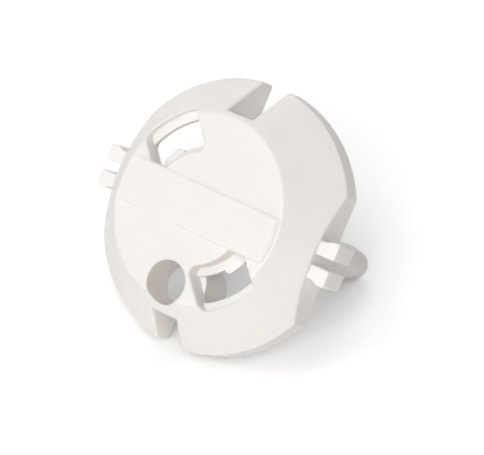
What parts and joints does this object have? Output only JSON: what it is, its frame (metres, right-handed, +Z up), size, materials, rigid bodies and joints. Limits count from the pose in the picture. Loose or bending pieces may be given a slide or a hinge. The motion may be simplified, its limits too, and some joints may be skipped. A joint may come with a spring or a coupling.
{
  "type": "outlet safety cover",
  "caption": "Round safety cover for a recessed wall outlet, with a raised bar, sunk key slots, an earth pin hole, rim notches, snap prongs and round pins on its hollow back.",
  "frame": {"origin": "centre of the plane of the rim's back edge, which meets the floor of the outlet", "axes": "+Z up on the wall, +Y from the cover into the wall along the contact pins, the face looks along -Y"},
  "size_m": [0.0382, 0.0299, 0.0366],
  "materials": {
    "white_plastic": "satin, as moulded"
  },
  "bodies": {
    "root": {"safety_cover": "white_plastic"}
  },
  "joints": []
}
